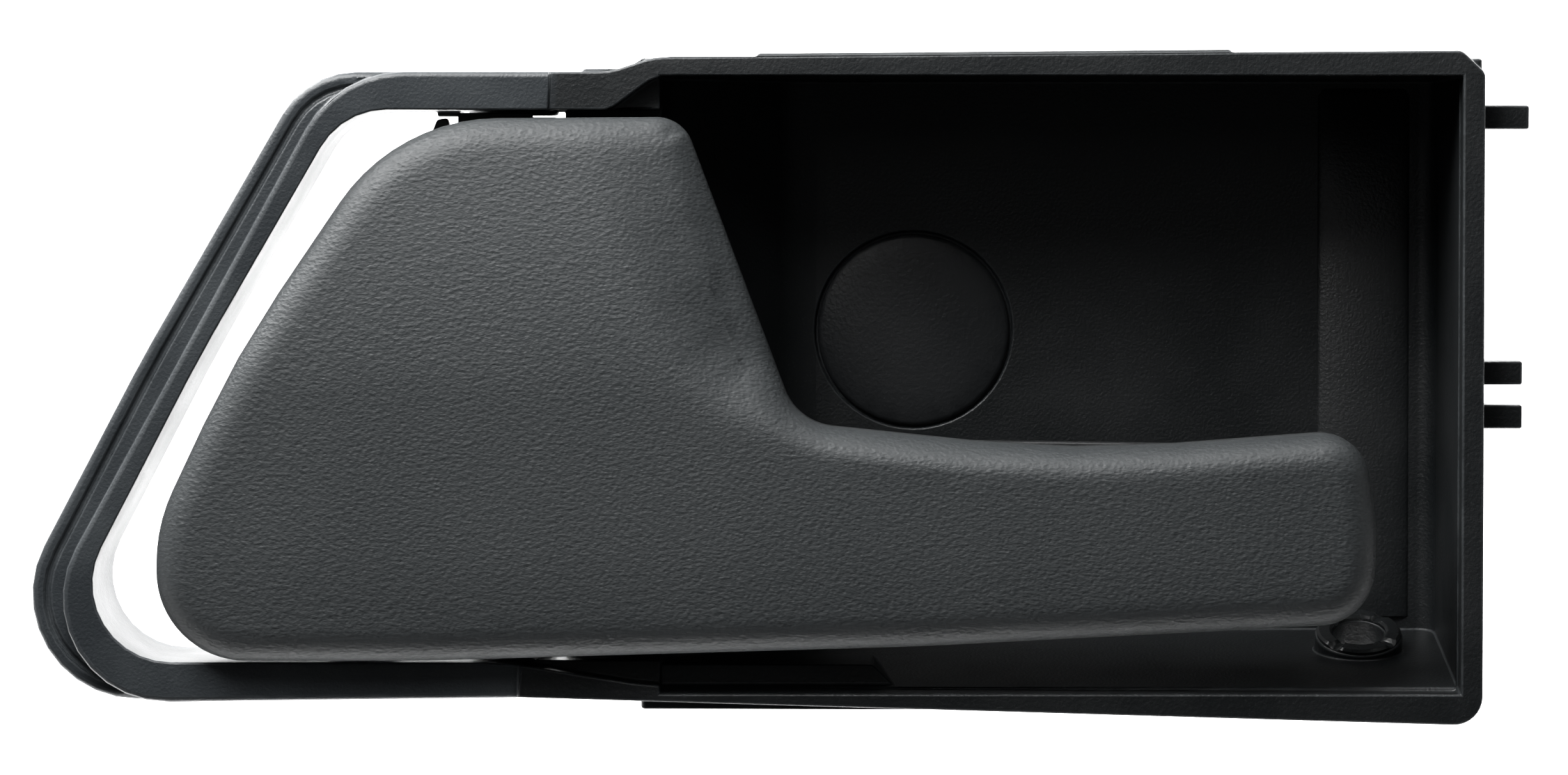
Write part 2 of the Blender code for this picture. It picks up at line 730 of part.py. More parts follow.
def pin_retainer(parts, helpers, surface):
    """Push-on spring steel washer on the pin's lower end, with relief slots."""
    top = BOSS_BOTTOM - 0.1
    place = Matrix.Translation(Vector((PIVOT_X, PIVOT_Y, 0)) * MM)
    washer = turned("pin_retainer", ring_profile(BORE_R + 0.02, 4.2, top - 0.5, top), place, parts)
    slots = []
    for index in range(3):
        angle = math.radians(30 + 120 * index)
        reach = Vector((math.cos(angle), math.sin(angle), 0))
        middle = Vector((PIVOT_X, PIVOT_Y, top - 0.25))
        slots.append(rod(f"retainer_slot_{index}", middle + reach * 1.5, middle + reach * 3.1, 0.35, helpers, 8))
    cut(washer, slots)
    finish(washer, surface)
    return washer


def return_spring(parts, surface):
    """Torsion spring round the pin: one leg on the ring's wall, the other behind the carrier."""
    steps = round(-SPRING_SWEEP / math.radians(22.5))
    centre = Vector((PIVOT_X, PIVOT_Y, SPRING_LOW))
    points = []
    for step in range(steps + 1):
        angle = SPRING_START + SPRING_SWEEP * step / steps
        lift = SPRING_PITCH * (SPRING_START - angle) / (2 * math.pi)
        points.append(centre + Vector((SPRING_R * math.cos(angle), SPRING_R * math.sin(angle), lift)))
    fixed_leg = Vector((-math.sin(SPRING_START), math.cos(SPRING_START), 0)) * SPRING_FIXED_LEG
    points.insert(0, points[0] + fixed_leg)
    points.append(points[-1] + Vector((-SPRING_MOVING_LEG, 0, 0)))
    curve = bpy.data.curves.new("return_spring", "CURVE")
    curve.dimensions = "3D"
    curve.bevel_depth = SPRING_WIRE_R * MM
    curve.bevel_resolution = 2
    curve.use_fill_caps = True
    spline = curve.splines.new("POLY")
    spline.points.add(len(points) - 1)
    for spot, point in zip(spline.points, points):
        spot.co = (*(point * MM), 1)
    spring = link(bpy.data.objects.new("return_spring", curve), parts)
    curve.materials.append(surface)
    return spring


def rest_buffer(name, z, parts, surface):
    """Rubber stop pressed through the bulkhead, with a barb behind it."""
    profile = [
        (0.0, 2.6),
        (BUFFER_HEAD_R - 0.8, 2.5),
        (BUFFER_HEAD_R, 1.9),
        (BUFFER_HEAD_R, 0.05),
        (STEM_R, 0.05),
        (STEM_R, -2.6),
        (2.1, -2.8),
        (1.0, -4.4),
        (0.0, -4.5),
    ]
    place = Matrix.Translation(Vector((BUFFER_X, BULKHEAD_FRONT - 0.1, z)) * MM)
    place = place @ Matrix.Rotation(math.pi / 2, 4, "X")
    buffer = turned(name, profile, place, parts)
    finish(buffer, surface)
    return buffer


def travel_buffer(parts, surface):
    """Domed rubber stop on the lug at the ring's lower edge."""
    angles = [math.radians(angle) for angle in range(0, 76, 15)]
    dome = [(BUFFER_HEAD_R * math.sin(angle), 2.55 * math.cos(angle) - 0.5) for angle in angles]
    stem = [(BUFFER_HEAD_R, 0.05), (STEM_R, 0.05), (STEM_R, -2.3), (2.0, -2.5), (1.0, -3.8), (0.0, -3.9)]
    place = Matrix.Translation((TRAVEL_STOP + Vector((0, -0.1, 0))) * MM)
    place = place @ Matrix.Rotation(math.pi / 2, 4, "X")
    buffer = turned("travel_buffer", dome + stem, place, parts)
    finish(buffer, surface)
    return buffer


def cover_cap(parts, helpers, surface):
    """Round, slightly domed cap in the bowl's back wall, with a sprung spigot behind."""
    steps = 6
    dome = []
    for step in range(steps + 1):
        share = step / steps
        dome.append(((CAP_R - 0.5) * share, CAP_RISE * math.sqrt(1 - 0.85 * share * share)))
    rim = [(CAP_R, 0.0), (CAP_R, -0.45), (CAP_SPIGOT_R, -0.45)]
    spigot = [(CAP_SPIGOT_R, -3.6), (CAP_SPIGOT_R - 0.6, -4.4), (CAP_SPIGOT_R - 1.6, -4.4)]
    profile = dome + rim + spigot + [(CAP_SPIGOT_R - 1.6, -0.9), (0.0, -0.9)]
    place = Matrix.Translation(CAP_CENTRE * MM) @ Matrix.Rotation(math.pi / 2, 4, "X")
    cap = turned("cover_cap", profile, place, parts, segments=48)
    slots = []
    for index in range(2):
        reach = Vector((math.cos(math.pi / 2 * index), 0, math.sin(math.pi / 2 * index))) * 9.0
        across = Vector((1.0, 0, 1.0)) - Vector((abs(reach.x), 0, abs(reach.z))) / 9.0
        low = CAP_CENTRE - reach - across + Vector((0, 1.6, 0))
        high = CAP_CENTRE + reach + across + Vector((0, 6.0, 0))
        slots.append(box(f"cap_slot_{index}", low, high, helpers))
    cut(cap, slots)
    finish(cap, surface)
    return cap


def rod_clip(parts, helpers, surface):
    """Plastic clip that swivels in the crank eye and holds the latch rod in a snap groove."""
    stem_r = EYE_HOLE_R - 0.1
    profile = [
        (0.0, 1.2),
        (4.0, 1.2),
        (4.0, 0.15),
        (stem_r, 0.15),
        (stem_r, ARM_BOTTOM - ARM_TOP - 0.2),
        (stem_r + 0.5, ARM_BOTTOM - ARM_TOP - 0.4),
        (stem_r - 0.7, ARM_BOTTOM - ARM_TOP - 1.8),
        (0.0, ARM_BOTTOM - ARM_TOP - 1.8),
    ]
    place = Matrix.Translation(Vector((EYE_X, EYE_Y, ARM_TOP)) * MM)
    clip = turned("rod_clip", profile, place, parts)
    eye = Vector((EYE_X, EYE_Y, ARM_TOP))
    head = box("clip_head", eye + Vector((-4.5, -3.0, 0.9)), eye + Vector((4.5, 3.0, 6.4)), helpers)
    join(clip, [head])
    middle = eye + Vector((0, 0, 3.9))
    groove = rod("clip_groove", middle - Vector((6, 0, 0)), middle + Vector((6, 0, 0)), 1.75, helpers)
    mouth = box("clip_mouth", middle + Vector((-6, 0.5, -1.45)), middle + Vector((6, 4, 1.45)), helpers)
    split = box("clip_split", eye + Vector((-0.7, -4, 2.2)), eye + Vector((0.7, 4, 7)), helpers)
    cut(clip, [groove, mouth, split])
    finish(clip, surface)
    return clip


# ---------------------------------------------------------------- assembly

def hinged_to(name, location, children, parts):
    """Puts an empty on a joint axis and parents the moving pieces to it."""
    empty = link(bpy.data.objects.new(name, None), parts)
    empty.location = Vector(location) * MM
    empty.empty_display_size = 0.01
    bpy.context.view_layer.update()
    for child in children:
        child.parent = empty
        child.matrix_parent_inverse = empty.matrix_world.inverted()
    return empty


def build():
    for obj in list(bpy.data.objects):
        bpy.data.objects.remove(obj)
    parts = bpy.data.collections.new("door_handle")
    helpers = bpy.data.collections.new("cutters")
    for collection in (parts, helpers):
        bpy.context.scene.collection.children.link(collection)

    black = material("housing_black", (0.016, 0.019, 0.021), 0.45)
    grey = material("grip_grey", (0.075, 0.085, 0.09), 0.6)
    inner_black = material("carrier_black", (0.012, 0.013, 0.014), 0.5)
    steel = material("zinc_steel", (0.55, 0.55, 0.53), 0.35, metallic=1.0)
    spring_steel = material("spring_steel", (0.3, 0.3, 0.31), 0.3, metallic=1.0)
    acetal = material("acetal_white", (0.7, 0.69, 0.64), 0.4)
    rubber = material("buffer_rubber", (0.02, 0.02, 0.02), 0.85)
    clip_plastic = material("clip_green", (0.06, 0.22, 0.1), 0.45)

    housing(parts, helpers, black)
    cover_cap(parts, helpers, black)
    pivot_pin(parts, steel)
    pin_retainer(parts, helpers, spring_steel)
    return_spring(parts, spring_steel)
    for name, z in BUFFER_HEIGHTS.items():
        rest_buffer(f"rest_buffer_{name}", z, parts, rubber)
    travel_buffer(parts, rubber)

    moving = [lever_grip(parts, helpers, grey), lever_carrier(parts, helpers, inner_black)]
    moving.append(flanged_bush("upper_bush", 1, parts, acetal))
    moving.append(flanged_bush("lower_bush", -1, parts, acetal))
    for index, (x, z) in enumerate(GRIP_SCREWS):
        moving.append(grip_screw(f"grip_screw_{index + 1}", x, z, parts, helpers, steel))
    lever_axis = hinged_to("lever_axis", (PIVOT_X, PIVOT_Y, 0), moving, parts)
    clip = rod_clip(parts, helpers, clip_plastic)
    clip_axis = hinged_to("clip_axis", (EYE_X, EYE_Y, ARM_TOP), [clip], parts)
    clip_axis.parent = lever_axis
    clip_axis.matrix_parent_inverse = lever_axis.matrix_world.inverted()


build()
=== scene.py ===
"""Looks of an interior car door handle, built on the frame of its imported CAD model.

Lengths are millimetres in the CAD frame: +X to the right, +Y into the door, +Z up.
"""

import math

import bmesh
import bpy
from mathutils import Matrix, Vector
from mathutils.bvhtree import BVHTree


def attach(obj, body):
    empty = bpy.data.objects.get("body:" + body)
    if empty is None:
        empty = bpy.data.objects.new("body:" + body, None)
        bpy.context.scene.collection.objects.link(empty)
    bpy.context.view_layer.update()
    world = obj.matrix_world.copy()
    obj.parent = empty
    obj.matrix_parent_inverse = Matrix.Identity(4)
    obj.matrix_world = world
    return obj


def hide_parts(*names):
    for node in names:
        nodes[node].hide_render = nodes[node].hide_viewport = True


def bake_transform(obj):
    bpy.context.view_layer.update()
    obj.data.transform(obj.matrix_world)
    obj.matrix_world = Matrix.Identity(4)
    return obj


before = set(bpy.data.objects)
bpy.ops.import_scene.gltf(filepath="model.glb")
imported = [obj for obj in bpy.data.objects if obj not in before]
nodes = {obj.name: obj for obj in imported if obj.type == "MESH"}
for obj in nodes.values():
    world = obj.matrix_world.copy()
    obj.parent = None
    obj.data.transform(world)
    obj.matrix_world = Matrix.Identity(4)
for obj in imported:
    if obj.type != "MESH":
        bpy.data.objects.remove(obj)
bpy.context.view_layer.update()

MM = 0.001

# Edge rounding: corners closer than the gap are merged, and flat joins are dissolved.
MERGE_GAP = 0.02
FLAT_ANGLE = math.radians(0.15)
SHARP_ANGLE = math.radians(32)

# Lever skin, the visible outer side of the grip.
LEVER_CORNERS = [
    (-40.4, 28.0, 20.0),
    (-10.6, 28.2, 4.0),
    (1.4, -3.7, 6.0),
    (30.2, -6.7, 120.0),
    (60.2, -4.4, 5.0),
    (62.0, -16.0, 20.0),
    (60.8, -24.5, 6.0),
    (14.0, -26.95, 200.0),
    (-38.0, -28.5, 150.0),
    (-65.5, -28.55, 9.3),
    (-65.5, -14.4, 18.0),
    (-57.1, 3.3, 105.0),
]
CREASE = [
    (-22.4, 30.0),
    (-20.0, 24.0),
    (-17.6, 15.0),
    (-14.8, 7.0),
    (-12.0, 1.8),
    (-8.0, -2.0),
    (0.0, -5.3),
    (8.0, -7.2),
    (20.0, -8.4),
    (40.0, -7.9),
    (56.0, -6.6),
    (64.0, -6.0),
]
SKIN_FRONT = -8.0
SKIN_WALL = 1.6
EDGE_ROLL = 3.4
SKIN_STEP = 1.6
DEEPEST_FALL = 3.2

# Hinge axis, and the return spring wound round it.
HINGE = (-28.65, 8.0)
SPRING_LOW = 0.1
SPRING_START = math.radians(-20)
SPRING_SWEEP = math.radians(-5 * 360 - 70)
SPRING_PITCH = 1.35
SPRING_R = 3.1
SPRING_WIRE_R = 0.55
SPRING_FIXED_LEG = 5.2
SPRING_MOVING_LEG = 10.0

# Rib and stop bump beside the hinge. The rib is thin, so that its corner passes in front of the
# housing's hinge guard as the lever opens.
EARS_FRONT = 1.1
RIB_BACK = 1.8
BUMP_BACK = 2.9

# Fixing screw's pad in the bowl, and the column that rises behind it.
FIXING_SEAT = Vector((61.4, 16.0, -27.2))
FIXING_TILT = math.radians(26)
FIXING_RIM_R = 4.5
FIXING_HOLE_R = 2.8
COLUMN_X = 62.5
COLUMN_R = 5.0
COLUMN_RISE = 0.7
BOWL_BACK = 26.0

# Line right of which the housing's colour is darker, taking in the bowl; it slants with height.
DARK_LINE_X = -26.0
DARK_LINE_SLOPE = 0.066

# Camera, set where the whole face is seen nearly square on.
CAMERA_PLACE = (7.0, -703.0, 29.0)
CAMERA_TARGET = (0.0, -3.0, 0.0)
VIEW_WIDTH = 163.5
SENSOR = 36.0

# Backdrop: a floor below the handle, a quarter circle, and a wall behind it.
FLOOR_Z = -130.0
FLOOR_FRONT = -10.0
CURVE_START = 700.0
CURVE_R = 500.0
WALL_TOP = 2600.0
SWEEP_HALF_WIDTH = 2600.0


# ---------------------------------------------------------------- shapes

def rounded(corners, arc_step):
    """Outline through corners of (x, z, radius), each rounded with an arc."""
    points = []
    count = len(corners)
    for index, (x, z, radius) in enumerate(corners):
        corner = Vector((x, z))
        before = (Vector(corners[index - 1][:2]) - corner).normalized()
        after = (Vector(corners[(index + 1) % count][:2]) - corner).normalized()
        opening = before.angle(after)
        tangent = radius / math.tan(opening / 2)
        centre = corner + (before + after).normalized() * radius / math.sin(opening / 2)
        start = corner + before * tangent - centre
        turn = start.angle_signed(corner + after * tangent - centre)
        steps = max(1, math.ceil(abs(turn) / arc_step))
        for step in range(steps + 1):
            points.append(centre + Matrix.Rotation(-turn * step / steps, 2) @ start)
    return points


def evened(outline, longest):
    """The outline with extra points, so that no side is longer than longest."""
    points = []
    for index, point in enumerate(outline):
        following = outline[(index + 1) % len(outline)]
        pieces = max(1, math.ceil((following - point).length / longest))
        points += [point.lerp(following, piece / pieces) for piece in range(pieces)]
    return points


def inset(outline, distance):
    """The clockwise outline moved inwards by a distance."""
    moved = []
    for index, point in enumerate(outline):
        before = (point - outline[index - 1]).normalized()
        after = (outline[(index + 1) % len(outline)] - point).normalized()
        inward = Vector((before.y, -before.x))
        middle = (inward + Vector((after.y, -after.x))).normalized()
        moved.append(point + middle * distance / middle.dot(inward))
    return moved


def fall_past_crease(x, z):
    """How much the front has fallen at a point beyond the crease: steeper where it faces up."""
    here = Vector((x, z))
    nearest = None
    for first, second in zip(CREASE, CREASE[1:]):
        start = Vector(first)
        along = Vector(second) - start
        share = min(1.0, max(0.0, (here - start).dot(along) / along.length_squared))
        gap = here - (start + along * share)
        if nearest is None or gap.length < nearest[0]:
            nearest = (gap.length, along.x * gap.y - along.y * gap.x, abs(along.normalized().x))
    past, side, faces_up = nearest
    if side < 0:
        return 0.0
    slope = 0.27 + 0.4 * faces_up
    rounding = 2.5
    return min(DEEPEST_FALL, slope * past * past / (past + rounding))


def skin_depth(x, z):
    """How much deeper than flat the lever's front lies at a point."""
    fall = fall_past_crease(x, z)
    top_lean = 3.1 * (max(0.0, z) / 28.0) ** 1.5 * max(0.4, 1 - fall / 4.0)
    bottom_lean = 0.6 * (max(0.0, -17.0 - z) / 11.0) ** 2
    left_lean = 1.0 * (max(0.0, -44.0 - x) / 20.0) ** 2
    return top_lean + bottom_lean + left_lean + fall


def mesh_piece(name, bm, body, surface, smooth=True):
    """A new object from millimetre geometry, riding on a body if one is named."""
    bmesh.ops.scale(bm, vec=(MM, MM, MM), verts=bm.verts)
    bmesh.ops.recalc_face_normals(bm, faces=bm.faces)
    mesh = bpy.data.meshes.new(name)
    bm.to_mesh(mesh)
    bm.free()
    if smooth:
        mesh.shade_smooth()
    mesh.materials.append(surface)
    piece = bpy.data.objects.new(name, mesh)
    mesh.set_sharp_from_angle(angle=math.radians(40))
    bpy.context.scene.collection.objects.link(piece)
    if body:
        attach(piece, body)
    return piece


def lever_skin(surface):
    """The grained shell of the lever: rolled edges, crowned palm, and the fall towards the bowl."""
    outline = evened(rounded(LEVER_CORNERS, math.radians(6)), SKIN_STEP)
    bm = bmesh.new()
    rings = [[bm.verts.new((point.x, 0.0, point.y)) for point in outline]]
    roll_steps = 8
    for step in range(roll_steps + 1):
        angle = math.pi / 2 * step / roll_steps
        ring = inset(outline, EDGE_ROLL * (1 - math.cos(angle)))
        y = SKIN_FRONT + EDGE_ROLL * (1 - math.sin(angle))
        rings.append([bm.verts.new((point.x, y, point.y)) for point in ring])
    for near, far in zip(rings, rings[1:]):
        for index in range(len(near)):
            following = (index + 1) % len(near)
            bm.faces.new((near[index], far[index], far[following], near[following]))
    bm.faces.new(rings[-1])
    bm.normal_update()
    for axis, low, high in ((0, -64.0, 62.0), (2, -28.0, 28.0)):
        for line in range(int((high - low) / SKIN_STEP) + 1):
            place = Vector((0, 0, 0))
            place[axis] = low + line * SKIN_STEP
            normal = Vector((0, 0, 0))
            normal[axis] = 1
            front = [face for face in bm.faces if face.calc_center_median().y < SKIN_FRONT + 0.01]
            edges = {edge for face in front for edge in face.edges}
            corners = {vert for face in front for vert in face.verts}
            bmesh.ops.bisect_plane(
                bm, geom=front + list(edges) + list(corners), dist=0.05, plane_co=place, plane_no=normal
            )
    for vert in bm.verts:
        vert.co.y *= 1 - skin_depth(vert.co.x, vert.co.z) / -SKIN_FRONT
    skin = mesh_piece("lever_skin", bm, "lever", surface)
    shell = skin.modifiers.new("wall", "SOLIDIFY")
    shell.thickness = SKIN_WALL * MM
    shell.offset = -1
    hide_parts("lever_grip")


def smooth_curved_faces(bm, rounding):
    """Shades rounded edges and curved walls smooth, leaves flat faces flat, and marks the edges."""
    edge_wear = bm.loops.layers.float.new("edge_wear")
    for face in rounding:
        for loop in face.loops:
            loop[edge_wear] = 1.0
    bm.normal_update()
    for face in bm.faces:
        face.smooth = face in rounding
        for edge in face.edges:
            walls = [other for other in edge.link_faces if other not in rounding]
            if len(walls) == 2 and FLAT_ANGLE < walls[0].normal.angle(walls[1].normal, 0) < SHARP_ANGLE:
                face.smooth = True


def eased_copy(node, body, surface, width):
    """A copy of a CAD node with its sharp edges rounded to a small radius."""
    source = nodes[node]
    bm = bmesh.new()
    bm.from_mesh(source.data)
    bmesh.ops.transform(bm, matrix=Matrix.Scale(1 / MM, 4) @ source.matrix_world, verts=bm.verts)
    bmesh.ops.remove_doubles(bm, verts=bm.verts, dist=MERGE_GAP)
    original = BVHTree.FromBMesh(bm)
    bmesh.ops.dissolve_limit(bm, angle_limit=FLAT_ANGLE, verts=bm.verts, edges=bm.edges)
    bm.normal_update()
    bmesh.ops.triangulate(bm, faces=bm.faces, ngon_method="BEAUTY")
    sharp = [edge for edge in bm.edges if edge.is_manifold and edge.calc_face_angle() > SHARP_ANGLE]
    made = bmesh.ops.bevel(
        bm, geom=sharp, offset=width, segments=3, profile=0.5, affect="EDGES", clamp_overlap=False
    )
    smooth_curved_faces(bm, set(made["faces"]))
    for vert in bm.verts:
        nearest, normal, index, gap = original.find_nearest(vert.co)
        if gap > width / 2:
            vert.co = nearest
    bm.normal_update()
    bmesh.ops.triangulate(bm, faces=bm.faces, ngon_method="EAR_CLIP")
    copy = mesh_piece(node + "_moulding", bm, body, surface, smooth=False)
    flat = copy.modifiers.new("flat_faces_stay_flat", "WEIGHTED_NORMAL")
    flat.keep_sharp = True
    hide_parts(node)


def ease(node, width):
    """Rounds a small CAD node's edges with modifiers, leaving its own mesh alone."""
    obj = nodes[node]
    weld = obj.modifiers.new("weld", "WELD")
    weld.merge_threshold = MERGE_GAP * MM
    bevel = obj.modifiers.new("rounded_edges", "BEVEL")
    bevel.width = width * MM
    bevel.segments = 2
    bevel.limit_method = "ANGLE"
    bevel.angle_limit = SHARP_ANGLE
    bevel.use_clamp_overlap = True


def wire(points, radius):
    """A round wire through points, in a new mesh."""
    bm = bmesh.new()
    sides = 10
    turns = [2 * math.pi * side / sides for side in range(sides)]
    rings = []
    across = None
    for index, point in enumerate(points):
        along = (points[min(index + 1, len(points) - 1)] - points[max(index - 1, 0)]).normalized()
        across = (across or Vector((0, 0, 1))) - along * along.dot(across or Vector((0, 0, 1)))
        across.normalize()
        other = along.cross(across)
        spokes = [across * math.cos(turn) + other * math.sin(turn) for turn in turns]
        rings.append([bm.verts.new(point + spoke * radius) for spoke in spokes])
    for near, far in zip(rings, rings[1:]):
        for side in range(sides):
            following = (side + 1) % sides
            bm.faces.new((near[side], near[following], far[following], far[side]))
    bm.faces.new(rings[0])
    bm.faces.new(reversed(rings[-1]))
    return bm


def return_spring(surface):
    """Torsion spring round the hinge, with a lower leg for the housing and an upper leg for the lever, as one
    wire that rides on no body.
    """
    steps = 120
    centre = Vector((*HINGE, SPRING_LOW))
    coil = []
    for step in range(steps + 1):
        angle = SPRING_START + SPRING_SWEEP * step / steps
        lift = SPRING_PITCH * (SPRING_START - angle) / (2 * math.pi)
        coil.append(centre + Vector((SPRING_R * math.cos(angle), SPRING_R * math.sin(angle), lift)))
    start_along = Vector((-math.sin(SPRING_START), math.cos(SPRING_START), 0))
    start_leg = [coil[0] + start_along * SPRING_FIXED_LEG * share for share in (1.0, 0.6, 0.25)]
    end_leg = [coil[-1] + Vector((-SPRING_MOVING_LEG * share, 0, 0)) for share in (0.15, 0.4, 0.7, 1.0)]
    bm = wire(start_leg + coil + end_leg, SPRING_WIRE_R)
    spring = mesh_piece("return_spring_wire", bm, None, surface)
    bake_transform(spring)
    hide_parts("return_spring")


def plate_piece(name, outline, y_front, y_back, body, surface):
    """A small flat moulding with eased front and back edges, from an outline in X and Z."""
    bm = bmesh.new()
    easing = 0.15
    rings = []
    for distance, y in ((easing, y_front), (0.0, y_front + easing), (0.0, y_back - easing), (easing, y_back)):
        rings.append([bm.verts.new((point.x, y, point.y)) for point in inset(outline, distance)])
    for near, far in zip(rings, rings[1:]):
        for index in range(len(near)):
            following = (index + 1) % len(near)
            bm.faces.new((near[index], near[following], far[following], far[index]))
    bm.faces.new(rings[0])
    bm.faces.new(rings[-1])
    piece = mesh_piece(name, bm, body, surface)


def hinge_ears(surface):
    """Rib that fills the slot over the lever beside the hinge, and the small stop bump next to it."""
    rib = [(-34.2, 27.2, 0.3), (-34.2, 28.62, 0.35), (-26.4, 28.62, 0.35), (-26.4, 27.2, 0.3)]
    bump = [(-37.0, 26.4, 0.2), (-36.4, 27.9, 0.5), (-35.3, 28.1, 0.4), (-34.9, 26.6, 0.2)]
    for name, corners, back in (("hinge_rib", rib, RIB_BACK), ("stop_bump", bump, BUMP_BACK)):
        outline = rounded(corners, math.radians(20))
        plate_piece(name, outline, EARS_FRONT, back, "lever", surface)


def fixing_rim(surface):
    """Raised rim with four notches round the fixing screw's hole."""
    bm = bmesh.new()
    steps = 72
    notch = 3
    profile = [(FIXING_RIM_R, 0.0), (FIXING_RIM_R, 0.35), (FIXING_RIM_R - 0.25, 0.6)]
    profile += [(FIXING_HOLE_R + 0.35, 0.6), (FIXING_HOLE_R + 0.1, 0.35), (FIXING_HOLE_R + 0.1, 0.0)]
    rings = []
    for step in range(steps):
        turn = 2 * math.pi * step / steps
        lowered = 0.4 if (step + 9) % (steps // 4) < notch else 1.0
        rings.append(
            [bm.verts.new((r * math.cos(turn), r * math.sin(turn), h * lowered - 0.05)) for r, h in profile]
        )
    for index, near in enumerate(rings):
        far = rings[(index + 1) % steps]
        for spot in range(len(profile)):
            following = (spot + 1) % len(profile)
            bm.faces.new((near[spot], far[spot], far[following], near[following]))
    tilt = Matrix.Translation(FIXING_SEAT) @ Matrix.Rotation(FIXING_TILT, 4, "X")
    bmesh.ops.transform(bm, matrix=tilt, verts=bm.verts)
    rim = mesh_piece("fixing_rim", bm, "housing_body", surface)


def screw_column(surface):
    """Half-round column on the bowl's back wall, above the fixing pad."""
    bm = bmesh.new()
    steps = 16
    rows = []
    for z, shrink in ((-26.0, 0.0), (30.4, 0.0), (31.2, 0.5)):
        row = []
        for step in range(steps + 1):
            turn = math.pi * step / steps
            x = COLUMN_X - (COLUMN_R - shrink) * math.cos(turn)
            y = BOWL_BACK + 0.05 - (COLUMN_RISE - shrink) * math.sin(turn)
            row.append(bm.verts.new((x, y, z)))
        rows.append(row)
    for near, far in zip(rows, rows[1:]):
        for index in range(steps):
            bm.faces.new((near[index], near[index + 1], far[index + 1], far[index]))
    for row in (rows[0], rows[-1]):
        bm.faces.new(row)
    for near, far in zip(rows, rows[1:]):
        bm.faces.new((near[0], far[0], far[-1], near[-1]))
    column = mesh_piece("screw_column", bm, "housing_body", surface)


# ---------------------------------------------------------------- materials

class Surface:
    """A node material that starts from a Principled shader and the object's own coordinates."""

    def __init__(self, name, roughness, metallic=0.0, specular=0.5):
        self.material = bpy.data.materials.new(name)
        self.material.use_nodes = True
        self.tree = self.material.node_tree
        self.shader = self.tree.nodes["Principled BSDF"]
        self.shader.inputs["Roughness"].default_value = roughness
        self.shader.inputs["Metallic"].default_value = metallic
        self.shader.inputs["Specular IOR Level"].default_value = specular
        self.place = self.tree.nodes.new("ShaderNodeTexCoord").outputs["Object"]

    def node(self, kind, **settings):
        made = self.tree.nodes.new(kind)
        for key, value in settings.items():
            setattr(made, key, value)
        return made

    def noise(self, scale, detail=3.0, roughness=0.5, stretch=None):
        """Noise with about scale bumps per metre, optionally stretched along the axes."""
        made = self.node("ShaderNodeTexNoise")
        made.inputs["Scale"].default_value = scale
        made.inputs["Detail"].default_value = detail
        made.inputs["Roughness"].default_value = roughness
        place = self.place
        if stretch:
            mapping = self.node("ShaderNodeMapping")
            mapping.inputs["Scale"].default_value = stretch
            mapping.inputs["Rotation"].default_value = (0, math.radians(35), 0)
            self.tree.links.new(self.place, mapping.inputs["Vector"])
            place = mapping.outputs["Vector"]
        self.tree.links.new(place, made.inputs["Vector"])
        return made.outputs["Fac"]

    def cells(self, scale):
        """Small rounded cells, about scale per metre."""
        made = self.node("ShaderNodeTexVoronoi", feature="SMOOTH_F1")
        made.inputs["Scale"].default_value = scale
        self.tree.links.new(self.place, made.inputs["Vector"])
        return made.outputs["Distance"]

    def spread(self, value, low_in, high_in, low_out, high_out):
        made = self.node("ShaderNodeMapRange")
        made.inputs["From Min"].default_value = low_in
        made.inputs["From Max"].default_value = high_in
        made.inputs["To Min"].default_value = low_out
        made.inputs["To Max"].default_value = high_out
        self.tree.links.new(value, made.inputs["Value"])
        return made.outputs["Result"]

    def math(self, operation, first, second):
        made = self.node("ShaderNodeMath", operation=operation)
        for socket, value in zip(made.inputs, (first, second)):
            if isinstance(value, (int, float)):
                socket.default_value = value
            else:
                self.tree.links.new(value, socket)
        return made.outputs["Value"]

    def mix(self, factor, first, second):
        """Colour between two, each a colour or an output."""
        made = self.node("ShaderNodeMix", data_type="RGBA")
        self.tree.links.new(factor, made.inputs["Factor"])
        for name, value in (("A", first), ("B", second)):
            socket = [s for s in made.inputs if s.name == name and s.type == "RGBA"][0]
            if isinstance(value, tuple):
                socket.default_value = (*value, 1)
            else:
                self.tree.links.new(value, socket)
        return [s for s in made.outputs if s.type == "RGBA"][0]

    def colour(self, value):
        self.tree.links.new(value, self.shader.inputs["Base Color"])

    def roughness(self, value):
        self.tree.links.new(value, self.shader.inputs["Roughness"])

    def bump(self, height, depth):
        """Surface relief of a height field, its full swing being depth millimetres."""
        made = self.node("ShaderNodeBump")
        made.inputs["Distance"].default_value = depth * MM
        self.tree.links.new(height, made.inputs["Height"])
        self.tree.links.new(made.outputs["Normal"], self.shader.inputs["Normal"])

    def worn_edges(self, base, worn, strength):
        """Lightens the rounded edges, in patches, where hands and tools rub them."""
        marked = self.node("ShaderNodeAttribute", attribute_name="edge_wear").outputs["Fac"]
        patches = self.spread(self.noise(300, detail=3), 0.35, 0.7, 0.3 * strength, strength)
        return self.mix(self.math("MULTIPLY", marked, patches), base, worn)

    def rubbed_ridges(self, base, worn, strength):
        """Lightens the convex parts of a finely meshed surface."""
        geometry = self.node("ShaderNodeNewGeometry")
        ridge = self.spread(geometry.outputs["Pointiness"], 0.51, 0.56, 0.0, strength)
        return self.mix(ridge, base, worn)


